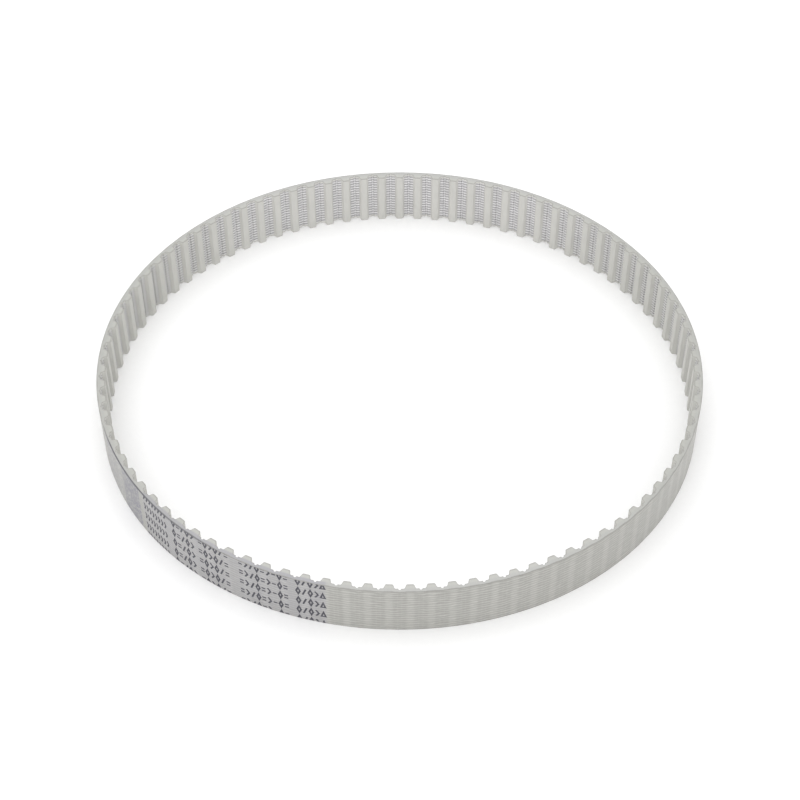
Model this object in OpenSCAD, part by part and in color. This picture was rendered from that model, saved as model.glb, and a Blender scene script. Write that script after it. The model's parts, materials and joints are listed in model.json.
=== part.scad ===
// Endless polyurethane timing belt with trapezoidal teeth inside and steel tension cords.
// The belt stands on one edge, relaxed into a slight oval. X is the long way of the loop,
// Y the short way, and Z runs across the width of the belt. The origin is the centre of
// the loop, on the lower edge.
// A real belt bends everywhere. Here the loop is divided at the middle of some lands into
// rigid segments of four and three teeth in turn, which hinge on the pitch line.

/* [Belt] */
// Width of the belt
belt_width = 16; // [10:1:32]
// Distance from tooth to tooth along the pitch line
tooth_pitch = 5; // [4.8:0.1:5.2]
// Pairs of segments round the loop, each of seven teeth
segment_pairs = 13; // [11:2:15]
// Swing of the heading that makes the resting loop oval, in radians
oval_swing = 0.081; // [0:0.001:0.12]

/* [Section] */
// Thickness of the back, from the land to the printed side
back_thickness = 1.0; // [0.9:0.05:1.2]
// Depth of the pitch line below the land
pitch_depth = 0.5; // [0.45:0.05:0.6]
// Height of a tooth above the land
tooth_height = 1.2; // [1.1:0.05:1.3]
// Width of a tooth at the land, before its fillets
tooth_root = 2.65; // [2.4:0.05:2.8]
// Slope of each flank
flank_angle = 20; // [15:1:25]
// Radius of the tip corners and of the root fillets
corner_radius = 0.4; // [0.2:0.05:0.4]
// Width of the winding groove along each land
groove_width = 0.8; // [0.4:0.1:0.9]
// Depth of the winding groove
groove_depth = 0.25; // [0.1:0.05:0.25]

/* [Cords] */
// Diameter of a steel cord
cord_diameter = 0.32; // [0.2:0.02:0.36]
// Distance between neighbouring turns across the belt
cord_pitch = 0.95; // [0.9:0.05:1.2]
// Polyurethane that stays between an edge of the belt and the nearest cord
cord_edge = 0.15; // [0.1:0.05:0.3]

/* [Joints] */
// Relief of each end face, on both sides of the pitch line, in degrees
joint_relief = 8.6; // [6:0.1:10]
// Clearance between two segments at the pitch line
joint_gap = 0.03; // [0.02:0.01:0.05]

/* [Marking] */
// Thickness of the ink
ink_thickness = 0.02; // [0.01:0.01:0.04]
// Height of a mark
mark_height = 2.4; // [1.5:0.1:3]
// Distance from row to row
row_pitch = 3.93; // [3.2:0.01:4.5]
// Height of the lowest row's centre line, which the edge of the belt cuts
first_row = -0.18; // [-0.6:0.01:0.6]

/* [Hidden] */
deg = 180 / PI;
segments = 2 * segment_pairs;
teeth_long = 4;
teeth_short = 3;
pitch_length = segment_pairs * (teeth_long + teeth_short) * tooth_pitch;
mean_radius = pitch_length / (2 * PI);
front = 270; // the loop is symmetric about this direction, where the first segment lies
skin = back_thickness - pitch_depth; // polyurethane outside the pitch line
winding_lead = 2 * cord_pitch; // an S cord and a Z cord are wound together
cord_tilt = atan(winding_lead / pitch_length);
cord_end = 0.04; // a cord stops this far short of the hinge axis
overcut = 0.2; // a cut runs this far past the face it opens
fillet_steps = 5;
full_circle = 720;
cord_circle = 24;

// The resting loop, segment by segment. A direction is an angle along the pitch line,
// from +X, as it would be if the loop were round.
function teeth(i) = i % 2 == 0 ? teeth_long : teeth_short;
function arc_length(i) = teeth(i) * tooth_pitch;
function middle(i) = front + i * 360 / segments;
function half_span(i) = arc_length(i) / mean_radius / 2 * deg;
function heading(direction) = direction + 90 + oval_swing * deg * sin(2 * direction);
function heading_in(i) = heading(middle(i) - half_span(i));
function heading_out(i) = heading(middle(i) + half_span(i));
function turn(i) = heading_out(i) - heading_in(i);
function radius(i) = arc_length(i) / turn(i) * deg;
function chord(i) = 2 * radius(i) * sin(turn(i) / 2);
function chord_heading(i) = (heading_in(i) + heading_out(i)) / 2;
function step(i) = chord(i) * [cos(chord_heading(i)), sin(chord_heading(i))];
function tooth_step(i) = tooth_pitch / radius(i) * deg;
function rise(i) = radius(i) * (1 - cos(turn(i) / 2));
function sum(list, k = 0) = k < len(list) ? list[k] + sum(list, k + 1) : 0;

half_depth = (rise(0) + sum([for (i = [1:segment_pairs - 1]) step(i)[1]]) + rise(segment_pairs)) / 2;
first_hinge = [-chord(0) / 2, rise(0) - half_depth];
hinges = [for (i = 0, p = first_hinge; i < segments; p = p + step(i), i = i + 1) p];

// Marks on the back: where a group starts along the pitch line, how many marks it has,
// their spacing and their width. Each mark is drawn as the plain patch that it fills.
mark_groups = [
    [271.3, 8, 1.12, 0.7],
    [282.0, 5, 1.5, 1.1],
    [290.5, 6, 1.5, 1.1],
    [302.0, 9, 1.44, 1.05],
    [316.6, 5, 1.5, 1.1],
];
marks = [for (g = mark_groups, k = [0:g[1] - 1]) [g[0] + k * g[2], g[3]]];
rows = [0:4];
function place_on_loop(i) = (middle(i) % 360) / 360 * pitch_length;
function marks_on(i) = [
    for (m = marks) if (m[0] > place_on_loop(i) - arc_length(i) / 2
        && m[0] < place_on_loop(i) + arc_length(i) / 2) [m[0] - place_on_loop(i), m[1]]];
// Segments that carry marks, counted back from the first one
marked = [segments - 4, segments - 3, segments - 2, segments - 1];

function two_digits(n) = str(n < 10 ? "0" : "", n);
function node_name(stem, i) = str(stem, "_", two_digits(i + 1));

// Puts a segment drawn about its own arc centre, with its middle on +X, where it belongs.
module in_place(i) {
    inward = heading_in(i) + 90;
    translate(hinges[i] + radius(i) * [cos(inward), sin(inward)])
        rotate([0, 0, chord_heading(i) - 90])
            children();
}

// Points on a circle about c, from angle a to angle b
function arc(c, r, a, b) = [
    for (k = [0:fillet_steps]) let (t = a + (b - a) * k / fillet_steps) c + r * [cos(t), sin(t)]];

// Half of a tooth's outline, from its middle down to where its root fillet meets the land.
// The first coordinate is the height above the land, the second the distance from the middle.
function half_tooth() =
    let (
        lean = corner_radius / cos(flank_angle),
        tip_height = tooth_height - corner_radius,
        tip_centre = [tip_height, tooth_root / 2 - tip_height * tan(flank_angle) - lean],
        root_centre = [corner_radius, tooth_root / 2 - corner_radius * tan(flank_angle) + lean]
    )
    concat(
        arc(tip_centre, corner_radius, 0, 90 - flank_angle),
        arc(root_centre, corner_radius, 270 - flank_angle, 180)
    );

// A tooth on a land of radius r, pointing at the arc centre. Its foot reaches into the back.
module tooth(r) {
    side = half_tooth();
    foot = side[len(side) - 1][1];
    outline = concat(side, [[-pitch_depth / 2, foot], [-pitch_depth / 2, -foot]],
        [for (k = [len(side) - 1:-1:0]) [side[k][0], -side[k][1]]]);
    polygon([for (p = outline) [r - p[0], p[1]]]);
}

// The winding groove in a land of radius r
module groove(r) {
    floor_width = groove_width - groove_depth;
    polygon([
        [r + groove_depth, -floor_width / 2], [r + groove_depth, floor_width / 2],
        [r, groove_width / 2], [r - overcut, groove_width / 2],
        [r - overcut, -groove_width / 2], [r, -groove_width / 2]]);
}

// What a segment may fill: its end faces meet at the hinge axes and lean back on both sides
module between_hinges(i) {
    r = radius(i);
    half = turn(i) / 2;
    reach = 4 * back_thickness;
    axis_point = [r * cos(half), r * sin(half)] - joint_gap / 2 * [-sin(half), cos(half)];
    outer_point = axis_point + reach * [cos(half - joint_relief), sin(half - joint_relief)];
    inner_point = axis_point - reach * [cos(half + joint_relief), sin(half + joint_relief)];
    upper = [inner_point, axis_point, outer_point];
    polygon(concat(upper, [for (k = [2:-1:0]) [upper[k][0], -upper[k][1]]]));
}

// The outline of a segment's back, with the groove in each land
module back_outline(i) {
    land = radius(i) - pitch_depth;
    difference() {
        intersection() {
            difference() {
                circle(r = radius(i) + skin, $fn = full_circle);
                circle(r = land, $fn = full_circle);
            }
            between_hinges(i);
        }
        for (k = [0:teeth(i)])
            rotate((k - teeth(i) / 2) * tooth_step(i)) groove(land);
    }
}

// Heights of the cords at the middle of a segment, as the helix crosses it
function cord_heights(i) =
    let (
        lowest = cord_diameter / 2 + cord_edge,
        climb = winding_lead * (i / segments),
        turns = ceil(belt_width / cord_pitch) + 2
    )
    [for (k = [-2:turns]) let (z = lowest + k * cord_pitch + climb)
        if (z >= lowest && z <= belt_width - lowest) z];

// The casting is drawn solid: the cords are cast into it and share its space.
module belt_segment(i) {
    color([0.73, 0.735, 0.705])
        in_place(i)
            union() {
                linear_extrude(belt_width) back_outline(i);
                for (k = [0:teeth(i) - 1])
                    rotate([0, 0, (k - (teeth(i) - 1) / 2) * tooth_step(i)])
                        linear_extrude(belt_width) tooth(radius(i) - pitch_depth);
            }
}

// The turns of the two cords that cross a segment, from just inside one end to the other
module steel_cords(i) {
    span = turn(i) - 2 * cord_end / radius(i) * deg;
    color([0.55, 0.56, 0.58])
        in_place(i)
            for (z = cord_heights(i))
                translate([0, 0, z])
                    rotate([cord_tilt, 0, 0])
                        rotate([0, 0, -span / 2])
                            rotate_extrude(angle = span, $fn = full_circle)
                                translate([radius(i), 0])
                                    circle(d = cord_diameter, $fn = cord_circle);
}

// One mark: a patch of ink on the back, cut off where it would pass an edge of the belt
module mark(r, from, width, z) {
    low = max(0, z - mark_height / 2);
    high = min(belt_width, z + mark_height / 2);
    rotate([0, 0, from / r * deg])
        rotate_extrude(angle = width / r * deg, $fn = full_circle)
            translate([r, low])
                square([ink_thickness, high - low]);
}

module printed_marks(i) {
    color([0.27, 0.28, 0.36])
        in_place(i)
            for (m = marks_on(i), row = rows)
                mark(radius(i) + skin, m[0], m[1], first_row + row * row_pitch);
}

for (i = [0:segments - 1]) {
    belt_segment(i);
    steel_cords(i);
}
for (i = marked)
    printed_marks(i);
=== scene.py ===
import json
import math
from types import SimpleNamespace

import bpy
import numpy as np
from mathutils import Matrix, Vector

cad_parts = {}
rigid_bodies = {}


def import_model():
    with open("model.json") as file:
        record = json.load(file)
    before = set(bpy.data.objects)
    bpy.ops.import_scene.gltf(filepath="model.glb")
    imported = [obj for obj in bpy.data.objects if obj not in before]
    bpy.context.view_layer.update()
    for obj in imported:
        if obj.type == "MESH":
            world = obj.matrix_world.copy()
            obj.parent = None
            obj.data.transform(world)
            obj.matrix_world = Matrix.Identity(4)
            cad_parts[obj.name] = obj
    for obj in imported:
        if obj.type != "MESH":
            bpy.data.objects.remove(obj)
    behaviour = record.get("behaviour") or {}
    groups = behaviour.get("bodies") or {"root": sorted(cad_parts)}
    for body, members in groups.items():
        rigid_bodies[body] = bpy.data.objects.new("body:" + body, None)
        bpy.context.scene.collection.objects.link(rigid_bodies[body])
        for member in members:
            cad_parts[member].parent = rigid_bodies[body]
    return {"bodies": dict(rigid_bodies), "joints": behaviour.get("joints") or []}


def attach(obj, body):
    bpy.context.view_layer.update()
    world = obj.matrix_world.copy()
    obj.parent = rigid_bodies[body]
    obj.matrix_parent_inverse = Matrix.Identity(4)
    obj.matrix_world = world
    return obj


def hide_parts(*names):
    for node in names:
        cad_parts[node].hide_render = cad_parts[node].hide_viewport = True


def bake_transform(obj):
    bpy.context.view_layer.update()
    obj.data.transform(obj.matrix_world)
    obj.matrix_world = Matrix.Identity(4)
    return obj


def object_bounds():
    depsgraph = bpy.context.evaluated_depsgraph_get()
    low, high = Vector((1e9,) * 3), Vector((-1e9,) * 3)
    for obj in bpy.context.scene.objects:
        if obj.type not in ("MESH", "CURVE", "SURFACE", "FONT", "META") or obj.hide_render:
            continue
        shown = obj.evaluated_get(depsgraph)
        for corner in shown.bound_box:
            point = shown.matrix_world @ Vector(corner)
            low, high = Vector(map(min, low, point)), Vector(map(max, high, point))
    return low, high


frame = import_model()
CAD_LOW, CAD_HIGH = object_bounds()

# An endless timing belt of cast polyurethane, standing on its edge. A place on it is given
# by three numbers in metres: along, the arc length round the pitch line from the middle of
# segment_01; out, the distance outside the pitch line; and z, the height.

MM = 0.001

# The loop, as in the CAD: rigid segments of four and three teeth in turn
SEGMENTS = len(frame["bodies"])
TOOTH_PITCH = 5 * MM
TEETH_IN_TURN = (4, 3)
STEP = sum(TEETH_IN_TURN) / 2 * TOOTH_PITCH  # from the middle of one segment to the next
LOOP = SEGMENTS * STEP
MEAN_RADIUS = LOOP / math.tau
OVAL_SWING = 0.081  # radians
FRONT = math.radians(270)  # direction of the middle of segment_01
OPEN_PIVOT = 10  # no joint joins this segment to the next one
OPEN_GAP = 0.034 * MM  # the two ends there turn against each other by up to 2 degrees

# The section
WIDTH = CAD_HIGH.z - CAD_LOW.z
PITCH_DEPTH = 0.5 * MM  # the pitch line lies this far below the land
SKIN = 0.5 * MM  # and this far below the back
TOOTH_HEIGHT = 1.2 * MM
TOOTH_ROOT = 2.65 * MM
FLANK = math.radians(20)
CORNER = 0.4 * MM  # radius of the tip corners and the root fillets
GROOVE_HALF = 0.42 * MM
GROOVE_FLOOR_HALF = 0.16 * MM
GROOVE_DEPTH = 0.355 * MM  # down to the cords
EDGE_RADIUS = 0.07 * MM
RIPPLE = 0.009 * MM  # the polyurethane shrinks this far between the cords

# The cords
CORD_RADIUS = 0.16 * MM
CORD_PITCH = 0.95 * MM
CORD_EDGE = 0.15 * MM  # polyurethane between the edge of the belt and the nearest cord
LEAD = 2 * CORD_PITCH  # an S cord and a Z cord are wound together
FIRST_CORD = CORD_RADIUS + CORD_EDGE
STRAND_TURNS = 150  # turns of the strands in one loop
STRANDS = 3
STRAND_DIP = 0.78  # radius between two strands, as a share of the cord's

# How finely the meshes are made
SHARP = math.radians(42)  # an edge that turns more than this stays sharp
ARC_POINTS = 6  # on each corner radius, root fillet and groove wall
BACK_ROWS = 25
TOOTH_ROWS = 137  # enough for eight rows to each turn of cord
FACE_ROWS = (0.16, 0.84)  # on an edge face, as shares of the way from the back to the teeth
CORD_RING = 0.25 * MM  # from one ring of points on a cord to the next
CORD_SIDES = 9

# The marks on the back, in millimetres: where a group starts, the spacing and width of its
# marks, and the marks themselves
MARK_GROUPS = (
    (385.1, 1.12, 0.62, ("chevron",) * 8),
    (395.8, 1.5, 1.05, ("lozenge", "bars", "slash", "lozenge", "chevron")),
    (404.3, 1.5, 1.05, ("bars", "lozenge", "chevron", "lozenge", "slash", "bars")),
    (415.8, 1.44, 1.0, ("bars", "chevron", "slash", "lozenge", "bars", "chevron", "dash",
                        "lozenge", "bars")),
    (430.4, 1.5, 1.05, ("lozenge", "slash", "lozenge", "chevron", "triangle")),
)
MARK_HEIGHT = 2.4 * MM
MARK_ROWS = 5
FIRST_ROW = -0.18 * MM  # the edge of the belt cuts this row and the last one
ROW_PITCH = 3.93 * MM
STROKE = 0.46 * MM
INK = 0.02 * MM
# Strokes of each mark in a unit square: lists of points, closed where the first is last
GLYPHS = {
    "chevron": [[(0.15, 0.0), (0.85, 0.5), (0.15, 1.0)]],
    "lozenge": [[(0.5, 0.0), (0.95, 0.5), (0.5, 1.0), (0.05, 0.5), (0.5, 0.0)]],
    "bars": [[(0.0, 0.28), (1.0, 0.28)], [(0.0, 0.72), (1.0, 0.72)]],
    "slash": [[(0.1, 0.0), (0.9, 1.0)]],
    "dash": [[(0.0, 0.5), (1.0, 0.5)]],
    "triangle": [[(0.0, 0.1), (1.0, 0.1), (0.5, 0.85), (0.0, 0.1)]],
}

# What the ink left round the marks, and where a dark line runs along the upper outer edge: from
# and to along the belt, in millimetres
HAZED = (384.6, 437.6)
BLURRED = (374.5, 383.1)
FAINT = (361.0, 373.8)
DARK_LINE_SPAN = (364.0, 408.0)

# The view
CAMERA_DISTANCE = 0.52876
CAMERA_ELEVATION = math.radians(50.6)
CAMERA_LENS = 92.75
CAMERA_SHIFT = (0.0004, -0.0191)
FLOOR_HALF = 3.0
BRIGHTNESS = 1.2  # of the studio light, so that a lit floor shows as plain white
WORLD_LIGHT = 0.9
# The lamps face the middle of the belt: name, place, size and power
LAMPS = (
    ("overhead", (-0.1, 0.1, 0.9), 1.0, 1.7),
    ("front", (-0.2, -0.9, 0.6), 0.7, 1.2),
)


# --- The pitch line -------------------------------------------------------------------

def heading(direction):
    """Heading of the pitch line at a direction seen as if the loop were round."""
    return direction + math.pi / 2 + OVAL_SWING * math.sin(2 * direction)


def segment_arcs():
    """One arc for each segment: where it starts, its radius, its first heading, its centre."""
    last_hinge = next(j for j in frame["joints"] if j["name"] == f"bend_{SEGMENTS}")
    corner = Vector(last_hinge["pos_m"][:2])
    arcs = []
    start = -TEETH_IN_TURN[0] * TOOTH_PITCH / 2
    for i in range(SEGMENTS):
        length = TEETH_IN_TURN[i % 2] * TOOTH_PITCH
        middle = FRONT + i * math.tau / SEGMENTS
        half = length / MEAN_RADIUS / 2
        first, last = heading(middle - half), heading(middle + half)
        radius = length / (last - first)
        centre = corner + radius * Vector((-math.sin(first), math.cos(first)))
        arcs.append((start, radius, first, centre.x, centre.y))
        corner = centre - radius * Vector((-math.sin(last), math.cos(last)))
        start += length
    return np.array(arcs)


def body(number):
    """Name of the body of the segment with this number."""
    return f"segment_{number:02d}"


def on_belt(along, out, z):
    """Points of the row frame, for arrays of places on the belt."""
    first = ARCS[0, 0]
    wrapped = (along - first) % LOOP + first
    start, radius, turn, x, y = ARCS[np.searchsorted(ARCS[:, 0], wrapped, "right") - 1].T
    angle = turn + (wrapped - start) / radius
    reach = radius + out
    return np.stack([x + reach * np.sin(angle), y - reach * np.cos(angle), z + 0 * x], axis=-1)


def cord_height(along):
    """Height of the lowest whole turn, which the others follow at the cord pitch."""
    return FIRST_CORD + LEAD * along / LOOP


ARCS = segment_arcs()


# --- Meshes ---------------------------------------------------------------------------

def make_object(name, points, faces, material, values=None):
    """A smooth mesh, sharp along its real edges, with the values the materials read."""
    mesh = bpy.data.meshes.new(name)
    mesh.from_pydata(points.tolist(), [], faces)
    for key, value in (values or {}).items():
        kind = "FLOAT_VECTOR" if value.ndim == 2 else "FLOAT"
        attribute = mesh.attributes.new(key, kind, "POINT")
        attribute.data.foreach_set("vector" if value.ndim == 2 else "value",
                                   value.astype(np.float32).ravel())
    mesh.materials.append(material)
    mesh.shade_smooth()
    mesh.set_sharp_from_angle(angle=SHARP)
    made = bpy.data.objects.new(name, mesh)
    bpy.context.scene.collection.objects.link(made)
    return made


def belt_values(along, out, z):
    """What the materials read, in millimetres: the place on the belt, and its place on a
    plain round loop, which patterns follow because it has no seam."""
    angle = along / LOOP * math.tau
    place = np.stack([along, out, z], axis=-1)
    ring = np.stack([MEAN_RADIUS * np.cos(angle), MEAN_RADIUS * np.sin(angle), z], axis=-1)
    return {"place": place / MM, "ring": ring / MM}


def tooth_outline():
    """Half a tooth and half a land, from the middle of the tooth: distances and heights."""
    lean = CORNER / math.cos(FLANK)
    tip = TOOTH_HEIGHT - CORNER
    tip_middle = TOOTH_ROOT / 2 - tip * math.tan(FLANK) - lean
    root_middle = TOOTH_ROOT / 2 - CORNER * math.tan(FLANK) + lean
    turn = np.linspace(0, math.pi / 2 - FLANK, ARC_POINTS)
    groove = np.linspace(0, 1, ARC_POINTS)
    groove_x = TOOTH_PITCH / 2 - GROOVE_HALF + groove * (GROOVE_HALF - GROOVE_FLOOR_HALF)
    distance = np.concatenate([
        [0], tip_middle + CORNER * np.sin(turn),
        (root_middle - CORNER * np.sin(turn))[::-1], groove_x, [TOOTH_PITCH / 2]])
    height = np.concatenate([
        [TOOTH_HEIGHT], tip + CORNER * np.cos(turn),
        (CORNER - CORNER * np.cos(turn))[::-1],
        -GROOVE_DEPTH * groove ** 2 * (3 - 2 * groove), [-GROOVE_DEPTH]])
    return distance, height


def toothed_side():
    """The toothed side of the whole loop: along, out, and the direction into the belt."""
    distance, height = tooth_outline()
    pitch_x = np.concatenate([-distance[:0:-1], distance[:-1]])
    pitch_h = np.concatenate([height[:0:-1], height[:-1]])
    teeth = round(LOOP / TOOTH_PITCH) + 1  # one more, so that the loop's end has its land
    middles = (np.arange(teeth) + 0.5) * TOOTH_PITCH
    along = (middles[:, None] + pitch_x).ravel()
    out = -PITCH_DEPTH - np.tile(pitch_h, teeth)
    slope_x = np.gradient(along)
    slope_out = np.gradient(out)
    slope_out[0] = 0
    size = np.hypot(slope_x, slope_out)
    return along, out, -slope_out / size, slope_x / size


def section_rows():
    """Rows round the section, from the lower edge of the back: which side each is on, its
    height, how far it is drawn in by the rounded edges, and its share of the way across."""
    round_off = np.radians((30, 60, 90))
    rise, inset = EDGE_RADIUS * np.sin(round_off), EDGE_RADIUS * (1 - np.cos(round_off))
    back = np.linspace(EDGE_RADIUS, WIDTH - EDGE_RADIUS, BACK_ROWS)
    teeth = np.linspace(WIDTH - EDGE_RADIUS, EDGE_RADIUS, TOOTH_ROWS)
    top, low = WIDTH - EDGE_RADIUS + rise, EDGE_RADIUS - rise
    face = np.array(FACE_ROWS)
    parts = (
        (0, back, 0 * back), (0, top, inset), (face, WIDTH, EDGE_RADIUS),
        (1, top[::-1], inset[::-1]), (1, teeth, 0 * teeth), (1, low, inset),
        (face[::-1], 0, EDGE_RADIUS), (0, low[::-1], inset[::-1]))
    rows = [np.broadcast_arrays(*map(np.atleast_1d, part)) for part in parts]
    return [np.concatenate(column) for column in zip(*rows)]


PROFILE = toothed_side()
ROWS = section_rows()


def smooth_step(value, low, high):
    """0 below low and 1 above high, with a smooth rise between."""
    t = np.clip((value - low) / (high - low), 0, 1)
    return t * t * (3 - 2 * t)


def belt_skin(name, start, end, material):
    """A closed length of the moulded belt, from start to end along the pitch line."""
    inside = (PROFILE[0] >= start - OPEN_GAP) & (PROFILE[0] <= end + OPEN_GAP)
    along, out, into_x, into_out = (column[inside, None] for column in PROFILE)
    along = np.clip(along, start, end)
    across, z, inset = ROWS
    # the two sides at every row, and the rows of the edge faces in between
    back_out = SKIN - inset
    tooth_along, tooth_out = along + inset * into_x, out + inset * into_out
    # the lands ripple between the cords, but not in the fillets, the grooves or the corners
    land = 1 - smooth_step(-out - PITCH_DEPTH, 0.02 * MM, 0.3 * MM)
    groove = smooth_step(out + PITCH_DEPTH, 0.02 * MM, 0.2 * MM)
    clear = smooth_step(np.minimum(z, WIDTH - z), EDGE_RADIUS, 4 * EDGE_RADIUS)
    wave = np.cos((z - cord_height(along)) / CORD_PITCH * math.tau)
    tooth_out = tooth_out - RIPPLE * land * (1 - groove) * clear * wave
    full_along = along + across * (tooth_along - along)
    full_out = back_out + across * (tooth_out - back_out)
    full_z = z + 0 * full_along
    columns, rows = full_along.shape
    points = on_belt(full_along.ravel(), full_out.ravel(), full_z.ravel())
    j, r = np.meshgrid(np.arange(columns - 1), np.arange(rows), indexing="ij")
    after = (r + 1) % rows
    quads = np.stack([j * rows + r, (j + 1) * rows + r, (j + 1) * rows + after,
                      j * rows + after], axis=-1).reshape(-1, 4).tolist()
    caps = [list(range(rows)), [(columns - 1) * rows + k for k in range(rows)][::-1]]
    values = belt_values(full_along.ravel(), full_out.ravel(), full_z.ravel())
    rim = np.where((across > 0) & (across < 1), 0.0, 1.0)
    values["rim"] = (rim + 0 * full_along).ravel()
    return make_object(name, points, quads + caps, material, values)


def cords(name, start, end, material):
    """The turns of the two steel cords that cross one length of the belt. Each is three
    strands laid round each other, to the right in one cord and to the left in the other."""
    rings = round((end - start) / CORD_RING) + 1
    along = np.linspace(start, end, rings)
    side = np.arange(CORD_SIDES)
    shape = np.where(side % STRANDS == 0, STRAND_DIP, 1.0) * CORD_RADIUS
    points, faces = [], []
    middle = (start + end) / 2
    first = math.ceil((FIRST_CORD - cord_height(middle)) / CORD_PITCH)
    last = math.floor((WIDTH - FIRST_CORD - cord_height(middle)) / CORD_PITCH)
    for k in range(first, last + 1):
        lay = 1 if k % 2 else -1
        angle = (lay * along[:, None] / LOOP * STRAND_TURNS + side / CORD_SIDES) * math.tau
        z = (cord_height(along) + k * CORD_PITCH)[:, None] + shape * np.sin(angle)
        out = shape * np.cos(angle)
        ring_along = np.broadcast_to(along[:, None], z.shape)
        base = len(points) * rings * CORD_SIDES
        points.append((ring_along.ravel(), out.ravel(), z.ravel()))
        j, s = np.meshgrid(np.arange(rings - 1), side, indexing="ij")
        after = (s + 1) % CORD_SIDES
        quads = np.stack([j * CORD_SIDES + s, (j + 1) * CORD_SIDES + s,
                          (j + 1) * CORD_SIDES + after, j * CORD_SIDES + after], axis=-1)
        faces += (base + quads.reshape(-1, 4)).tolist()
        ends = base + (rings - 1) * CORD_SIDES
        faces += [[base + s for s in range(CORD_SIDES)],
                  [ends + s for s in range(CORD_SIDES)][::-1]]
    place = [np.concatenate(column) for column in zip(*points)]
    return make_object(name, on_belt(*place), faces, material, belt_values(*place))


def stroke_quads(path, width):
    """A stroke as one convex quadrangle for each of its straight runs, mitred between."""
    least_cosine = 0.35  # keeps the mitre at a sharp corner short
    path = [np.array(p) for p in path]
    closed = np.allclose(path[0], path[-1])
    runs = [(b - a) / np.linalg.norm(b - a) for a, b in zip(path, path[1:])]
    sides = []
    for k in range(len(path)):
        before = runs[k - 1] if k > 0 else (runs[-1] if closed else runs[0])
        after = runs[k] if k < len(runs) else (runs[0] if closed else runs[-1])
        across = np.array((-before[1] - after[1], before[0] + after[0]))
        across /= np.linalg.norm(across)
        reach = width / 2 / max(least_cosine, across @ np.array((-after[1], after[0])))
        sides.append((path[k] - across * reach, path[k] + across * reach))
    return [(a[0], b[0], b[1], a[1]) for a, b in zip(sides, sides[1:])]


def cut_between(polygon, low, high):
    """A convex polygon cut off at two heights."""
    for limit, keep in ((low, 1), (high, -1)):
        kept = []
        for a, b in zip(polygon, polygon[1:] + polygon[:1]):
            inside_a, inside_b = keep * (a[1] - limit) >= 0, keep * (b[1] - limit) >= 0
            if inside_a:
                kept.append(a)
            if inside_a != inside_b:
                kept.append(a + (b - a) * (limit - a[1]) / (b[1] - a[1]))
        polygon = kept
    return polygon


def ink_marks(name, start, end, material):
    """The marks that lie between two places on the belt, each a thin raised film of ink."""
    places, faces = [], []
    for first, spacing, width, glyphs in MARK_GROUPS:
        for k, glyph in enumerate(glyphs):
            left = (first + k * spacing) * MM
            if not start <= left + width * MM / 2 < end:
                continue
            for row in range(MARK_ROWS):
                bottom = FIRST_ROW + row * ROW_PITCH - MARK_HEIGHT / 2
                for path in GLYPHS[glyph]:
                    scaled = [(left + u * width * MM, bottom + v * MARK_HEIGHT) for u, v in path]
                    for quad in stroke_quads(scaled, STROKE):
                        flat = cut_between(list(quad), EDGE_RADIUS, WIDTH - EDGE_RADIUS)
                        if len(flat) >= 3:
                            add_film(flat, places, faces)
    place = np.array(places)
    values = belt_values(*place.T)
    return make_object(name, on_belt(*place.T), faces, material, values)


def add_film(flat, places, faces):
    """A closed film over a convex polygon: its top, its underside in the belt, its rim."""
    base, count = len(places), len(flat)
    places += [(p[0], SKIN + INK, p[1]) for p in flat]
    places += [(p[0], SKIN - INK, p[1]) for p in flat]
    top = list(range(base, base + count))
    faces.append(top)
    faces.append([v + count for v in top][::-1])
    faces += [[a, a + count, b + count, b] for a, b in zip(top, top[1:] + top[:1])]


# --- Materials ------------------------------------------------------------------------

def srgb(red, green, blue):
    """A colour that shows as given, from 0 to 255, under the studio light: linear light by
    the sRGB curve, less as the light is brighter."""
    parts = [value / 255 for value in (red, green, blue)]
    linear = [v / 12.92 if v <= 0.04045 else ((v + 0.055) / 1.055) ** 2.4 for v in parts]
    return [v / BRIGHTNESS for v in linear] + [1]


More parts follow.
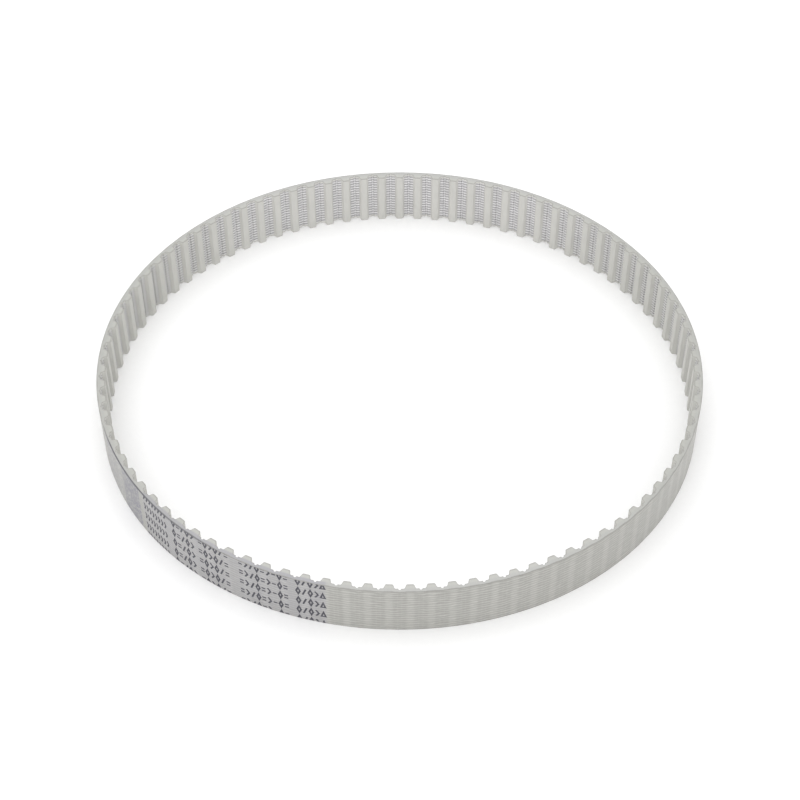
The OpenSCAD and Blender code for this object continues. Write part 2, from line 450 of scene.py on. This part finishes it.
class Shader:
    """A material's node tree, with a short call for each kind of node it needs."""

    def __init__(self, name):
        self.material = bpy.data.materials.new(name)
        self.material.use_nodes = True
        self.tree = self.material.node_tree
        self.surface = self.tree.nodes["Principled BSDF"]

    def put(self, socket, value):
        if isinstance(value, bpy.types.NodeSocket):
            self.tree.links.new(value, socket)
        else:
            socket.default_value = value

    def node(self, kind, *inputs, **settings):
        made = self.tree.nodes.new(kind)
        for key, value in settings.items():
            setattr(made, key, value)
        for socket, value in zip(made.inputs, inputs):
            if value is not None:
                self.put(socket, value)
        return made

    def value(self, name):
        return self.node("ShaderNodeAttribute", attribute_name=name)

    def maths(self, operation, *values):
        return self.node("ShaderNodeMath", *values, operation=operation).outputs[0]

    def parts(self, vector):
        return self.node("ShaderNodeSeparateXYZ", vector).outputs

    def stretch(self, vector, x, y, z):
        return self.node("ShaderNodeVectorMath", vector, (x, y, z),
                         operation="MULTIPLY").outputs[0]

    def noise(self, vector, scale, detail=2.0, rough=0.5):
        made = self.node("ShaderNodeTexNoise")
        self.put(made.inputs["Vector"], vector)
        self.put(made.inputs["Scale"], scale)
        self.put(made.inputs["Detail"], detail)
        self.put(made.inputs["Roughness"], rough)
        return made.outputs["Fac"]

    def ramp(self, value, low, high, first=0.0, last=1.0):
        """value from low to high becomes first to last, smoothly."""
        made = self.node("ShaderNodeMapRange", value, low, high, first, last,
                         interpolation_type="SMOOTHSTEP")
        return made.outputs[0]

    def within(self, value, low, high, soft):
        """1 between low and high, and 0 outside, with soft borders."""
        rising = self.ramp(value, low - soft, low + soft)
        return self.maths("MULTIPLY", rising, self.ramp(value, high - soft, high + soft, 1.0, 0.0))

    def mix(self, share, first, second):
        made = self.node("ShaderNodeMix", data_type="RGBA")
        self.put(made.inputs["Factor"], share)
        self.put(made.inputs[6], first)
        self.put(made.inputs[7], second)
        return made.outputs[2]

    def bump(self, height, distance):
        made = self.node("ShaderNodeBump")
        self.put(made.inputs["Strength"], 1.0)
        self.put(made.inputs["Distance"], distance)
        self.put(made.inputs["Height"], height)
        self.put(self.surface.inputs["Normal"], made.outputs[0])

    def finish(self, colour, roughness, **inputs):
        self.put(self.surface.inputs["Base Color"], colour)
        self.put(self.surface.inputs["Roughness"], roughness)
        for key, value in inputs.items():
            self.put(self.surface.inputs[key.replace("_", " ")], value)
        return self.material


def cord_wave(shader, along, z, shift):
    """1 over each cord and 0 between two, with shift added to the height."""
    climb = shader.maths("MULTIPLY", along, LEAD / LOOP)
    level = shader.maths("SUBTRACT", z, climb)
    level = shader.maths("ADD", level, shift)
    turns = shader.maths("MULTIPLY", level, math.tau / (CORD_PITCH / MM))
    turns = shader.maths("SUBTRACT", turns, math.tau * FIRST_CORD / CORD_PITCH)
    wave = shader.maths("COSINE", turns)
    return shader.maths("MULTIPLY_ADD", wave, 0.5, 0.5)


def tooth_wave(shader, along):
    """1 at the middle of each tooth and 0 at the middle of each land."""
    wave = shader.maths("COSINE", shader.maths("MULTIPLY", along, math.tau / (TOOTH_PITCH / MM)))
    return shader.maths("MULTIPLY_ADD", wave, -0.5, 0.5)


def belt_place(s):
    """Where a point of the belt is, in millimetres, and the patterns that its colours share."""
    along, out, z = s.parts(s.value("place").outputs["Vector"])
    ring = s.value("ring").outputs["Vector"]
    return SimpleNamespace(
        along=along, out=out, z=z, ring=ring,
        rim=s.value("rim").outputs["Fac"],
        hazed=s.within(along, *HAZED, 0.5),
        cloud=s.noise(ring, 0.16, 3.0),
        grain=s.noise(ring, 5.0, 3.0, 0.6),
        streak=s.noise(s.stretch(ring, 0.55, 0.55, 3.2), 1.0, 3.0, 0.6))


def toothed_colour(s, at):
    """The teeth, and the lands with the cords behind them: painted glints on the cords, painted
    shade on the groove walls, and painted fill light on the groove floors and low on the tooth
    flanks.
    """
    height = s.maths("SUBTRACT", s.maths("MULTIPLY", at.out, -1.0), PITCH_DEPTH / MM)
    land = s.maths("MULTIPLY", s.ramp(height, 0.03, 0.36, 1.0, 0.0),
                   s.within(at.z, 0.55, WIDTH / MM - 0.55, 0.15))
    # masks for painted fill light on the groove floors and painted shade on the groove walls
    floor = s.ramp(height, -0.3, -0.1, 1.0, 0.0)
    wall = s.within(height, -0.26, -0.07, 0.06)
    # the cord lines carry painted glints, and shift with the depth of polyurethane over them as
    # painted refraction seen from above
    depth = s.maths("MULTIPLY", s.maths("ADD", height, 0.34), 0.5)
    cord = cord_wave(s, at.along, at.z, s.maths("MULTIPLY", depth, -1.0))
    glint = s.maths("MULTIPLY", s.ramp(cord, 0.4, 0.9), s.ramp(at.streak, 0.3, 0.6, 0.5, 1.0))
    glint = s.maths("MAXIMUM", glint, s.maths("MULTIPLY", wall, s.ramp(cord, 0.25, 0.75)))
    # between the cords: lighter on the groove floor as painted fill light, darker on its walls as
    # painted shade
    between = s.mix(floor, srgb(174, 172, 175), srgb(200, 198, 201))
    between = s.mix(wall, between, srgb(134, 132, 136))
    land_colour = s.mix(glint, between, srgb(255, 255, 255))
    # the lower flanks are painted lighter than the tips: painted fill light against their shade
    tooth_colour = s.mix(s.ramp(height, 0.75, 1.15), srgb(223, 222, 217), srgb(208, 207, 202))
    return s.mix(land, tooth_colour, land_colour)


def back_colour(s, at):
    """Fine lines along the cords, bands over the teeth and the grooves, stray ink, and painted
    shade along the upper and lower edges.
    """
    wander = s.maths("ADD", s.noise(s.stretch(at.ring, 0.3, 0.3, 0.5), 1.0, 1.0),
                     s.maths("MULTIPLY", at.streak, 0.4))
    fine = s.ramp(cord_wave(s, at.along, at.z, wander), 0.3, 0.95)
    fine = s.maths("MULTIPLY", fine, s.ramp(at.streak, 0.3, 0.65, 0.35, 1.0))
    tooth = tooth_wave(s, at.along)
    over_groove = s.maths("MULTIPLY", s.within(tooth, 0.055, 0.14, 0.04), 0.3)
    over_tooth = s.maths("MAXIMUM", s.ramp(tooth, 0.5, 1.0, 0.0, 0.8), over_groove)
    shade = s.mix(over_tooth, srgb(157, 156, 151), srgb(171, 170, 165))
    light = s.mix(over_tooth, srgb(189, 188, 183), srgb(199, 198, 193))
    colour = s.mix(fine, shade, light)

    haze = s.maths("MULTIPLY", s.ramp(at.grain, 0.3, 0.7), s.ramp(at.cloud, 0.3, 0.7, 0.6, 0.9))
    colour = s.mix(s.maths("MULTIPLY", haze, at.hazed), colour, srgb(165, 163, 174))
    mottle = s.noise(at.ring, 1.5, 3.0, 0.65)
    blurred = s.maths("MULTIPLY", s.ramp(mottle, 0.36, 0.6), s.within(at.along, *BLURRED, 0.5))
    colour = s.mix(blurred, colour, srgb(118, 117, 131))
    faint = s.maths("MULTIPLY", s.ramp(mottle, 0.42, 0.66), s.within(at.along, *FAINT, 0.8))
    colour = s.mix(faint, colour, srgb(134, 133, 143))

    # painted shade along the upper and lower edges of the back, where it turns into the cut edges
    from_middle = s.maths("ABSOLUTE", s.maths("SUBTRACT", at.z, WIDTH / MM / 2))
    corner = s.ramp(from_middle, WIDTH / MM / 2 - 0.3, WIDTH / MM / 2 - 0.15)
    return s.mix(s.maths("MULTIPLY", corner, 0.7), colour, srgb(134, 132, 126))


def edge_colour(s, at):
    """The cut edges: lighter teeth, a duller strip at the back, and painted shade along their
    rounded borders.
    """
    backing = s.ramp(at.out, -0.9, -0.3)
    strip = s.mix(at.hazed, srgb(187, 187, 184), srgb(170, 169, 174))
    face = s.mix(backing, srgb(193, 193, 188), strip)
    # painted shade along the rounded borders of each cut face
    outline_shade = s.mix(backing, srgb(158, 157, 152), srgb(150, 149, 145))
    return s.mix(at.rim, face, outline_shade)


def polyurethane():
    """Milky, slightly olive polyurethane, with the cords showing through it."""
    s = Shader("polyurethane")
    at = belt_place(s)
    on_edge = s.within(at.z, EDGE_RADIUS / MM, (WIDTH - EDGE_RADIUS) / MM, 0.02)
    sides = s.mix(s.ramp(at.out, -0.2, 0.3), toothed_colour(s, at), back_colour(s, at))
    colour = s.mix(on_edge, edge_colour(s, at), sides)

    # a dark line along the upper outer edge, over part of the printed length, fainter further
    # along the belt
    dark_edge_line = s.maths("MULTIPLY", s.ramp(at.z, 15.4, 15.6), s.ramp(at.out, 0.18, 0.34))
    dark_edge_line = s.maths("MULTIPLY", dark_edge_line, s.within(at.along, *DARK_LINE_SPAN, 5.0))
    dark_edge_line = s.maths("MULTIPLY", dark_edge_line, s.ramp(at.along, 375.0, 405.0, 0.95, 0.6))
    colour = s.mix(dark_edge_line, colour, srgb(80, 80, 90))

    # painted shade on the teeth and cut edges at the two ends of the oval, and uneven patches
    # everywhere
    aside = s.maths("ABSOLUTE", s.parts(at.ring)[1])
    end_shade = s.maths("MULTIPLY", s.ramp(aside, 30.0, 66.0, 0.0, 0.28),
                   s.ramp(at.out, 0.2, 0.42, 1.0, 0.0))
    colour = s.mix(end_shade, colour, srgb(160, 161, 152))
    colour = s.mix(s.ramp(at.cloud, 0.35, 0.7, 0.0, 0.12), colour, srgb(165, 166, 160))
    colour = s.mix(s.ramp(at.grain, 0.3, 0.75, 0.0, 0.1), colour, srgb(230, 229, 226))

    scratches = s.noise(s.stretch(at.ring, 0.7, 0.7, 16.0), 1.0, 2.0, 0.7)
    relief = s.maths("ADD", s.maths("MULTIPLY", at.grain, 0.5),
                     s.maths("MULTIPLY", scratches, 0.5))
    s.bump(relief, 0.012 * MM)
    roughness = s.ramp(at.grain, 0.3, 0.7, 0.36, 0.5)
    return s.finish(colour, roughness, IOR=1.5, Specular_IOR_Level=0.45)


def cord_steel():
    """Bright drawn steel, a little dulled by the polyurethane that wets it."""
    s = Shader("cord_steel")
    ring = s.value("ring").outputs["Vector"]
    wires = s.noise(s.stretch(ring, 1.5, 1.5, 9.0), 1.0, 3.0, 0.6)
    stain = s.noise(ring, 1.3, 2.0)
    colour = s.mix(s.ramp(wires, 0.3, 0.7), srgb(176, 177, 182), srgb(232, 232, 235))
    colour = s.mix(s.ramp(stain, 0.45, 0.75, 0.0, 0.5), colour, srgb(150, 148, 146))
    s.bump(wires, 0.01 * MM)
    return s.finish(colour, s.ramp(stain, 0.3, 0.7, 0.28, 0.42), Metallic=1.0)


def marking_ink():
    """Dark blue-grey ink, thin and grainy."""
    s = Shader("marking_ink")
    ring = s.value("ring").outputs["Vector"]
    grain = s.noise(ring, 6.0, 3.0, 0.65)
    patch = s.noise(ring, 1.1, 2.0)
    colour = s.mix(s.ramp(grain, 0.35, 0.75), srgb(52, 51, 60), srgb(92, 91, 100))
    colour = s.mix(s.ramp(patch, 0.45, 0.8, 0.0, 0.4), colour, srgb(112, 112, 120))
    s.bump(grain, 0.006 * MM)
    return s.finish(colour, s.ramp(grain, 0.3, 0.7, 0.5, 0.68))


def floor_material():
    """Nearly white paper."""
    s = Shader("studio_floor")
    place = s.node("ShaderNodeTexCoord").outputs["Object"]
    fleck = s.noise(place, 900.0, 2.0)
    colour = s.mix(fleck, (0.94, 0.94, 0.94, 1), (0.97, 0.97, 0.97, 1))
    return s.finish(colour, 0.7)


# --- The belt -------------------------------------------------------------------------

def lengths():
    """The belt's lengths: from the middle of one segment to the middle of the next, and at
    the open pivot two shorter ones, each on a single segment."""
    for number in range(1, SEGMENTS + 1):
        start, after = (number - 1) * STEP, number % SEGMENTS + 1
        if number != OPEN_PIVOT:
            yield start, start + STEP, number, after
            continue
        pivot = start + TEETH_IN_TURN[(number - 1) % 2] * TOOTH_PITCH / 2
        yield start, pivot - OPEN_GAP / 2, number, number
        yield pivot + OPEN_GAP / 2, start + STEP, after, after


def follow(piece, start, end, first, second, node):
    """Puts a length of belt on its segment when it lies on a single one, otherwise fixes it where
    it is, and hides the CAD nodes it stands for.
    """
    if first == second:
        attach(piece, body(first))
    else:
        ends = on_belt(np.array((start, end)), np.zeros(2), np.full(2, WIDTH / 2))
        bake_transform(piece)
    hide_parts(*(f"{node}_{number:02d}" for number in sorted({first, second})))


def build_belt():
    skin, steel, ink = polyurethane(), cord_steel(), marking_ink()
    marks_begin = MARK_GROUPS[0][0] * MM
    for start, end, first, second in lengths():
        label = f"{first:02d}_{second:02d}"
        piece = belt_skin(f"belt_{label}", start, end, skin)
        follow(piece, start, end, first, second, "belt_segment")
        piece = cords(f"cords_{label}", start, end, steel)
        follow(piece, start, end, first, second, "steel_cords")
        if end > marks_begin and second != 1:
            piece = ink_marks(f"marks_{label}", start, end, ink)
            follow(piece, start, end, first, second, "printed_marks")


# --- The studio -----------------------------------------------------------------------

def build_floor():
    signs = ((-1, -1), (1, -1), (1, 1), (-1, 1))
    corners = [(x * FLOOR_HALF, y * FLOOR_HALF, 0) for x, y in signs]
    floor = make_object("floor", np.array(corners), [[0, 1, 2, 3]], floor_material())


def add_lamp(name, place, size, power):
    lamp = bpy.data.lights.new(name, "AREA")
    lamp.size = size
    lamp.energy = power
    made = bpy.data.objects.new(name, lamp)
    made.location = place
    made.rotation_euler = (-Vector(place)).to_track_quat("-Z", "Y").to_euler()
    bpy.context.scene.collection.objects.link(made)


def build_lights():
    world = bpy.data.worlds.new("studio")
    world.use_nodes = True
    background = world.node_tree.nodes["Background"]
    background.inputs["Color"].default_value = (1, 1, 1, 1)
    background.inputs["Strength"].default_value = WORLD_LIGHT * BRIGHTNESS
    bpy.context.scene.world = world
    for name, place, size, power in LAMPS:
        add_lamp(name, place, size, power * BRIGHTNESS)


def build_camera():
    camera = bpy.data.cameras.new("camera")
    camera.lens = CAMERA_LENS
    camera.shift_x, camera.shift_y = CAMERA_SHIFT
    camera.clip_start, camera.clip_end = 0.01, 20
    target = Vector((0, 0, WIDTH / 2))
    back = Vector((0, -math.cos(CAMERA_ELEVATION), math.sin(CAMERA_ELEVATION)))
    made = bpy.data.objects.new("camera", camera)
    made.location = target + CAMERA_DISTANCE * back
    made.rotation_euler = (-back).to_track_quat("-Z", "Y").to_euler()
    bpy.context.scene.collection.objects.link(made)
    bpy.context.scene.camera = made


bpy.context.scene.view_settings.view_transform = "Standard"
build_camera()
build_lights()
build_floor()
build_belt()
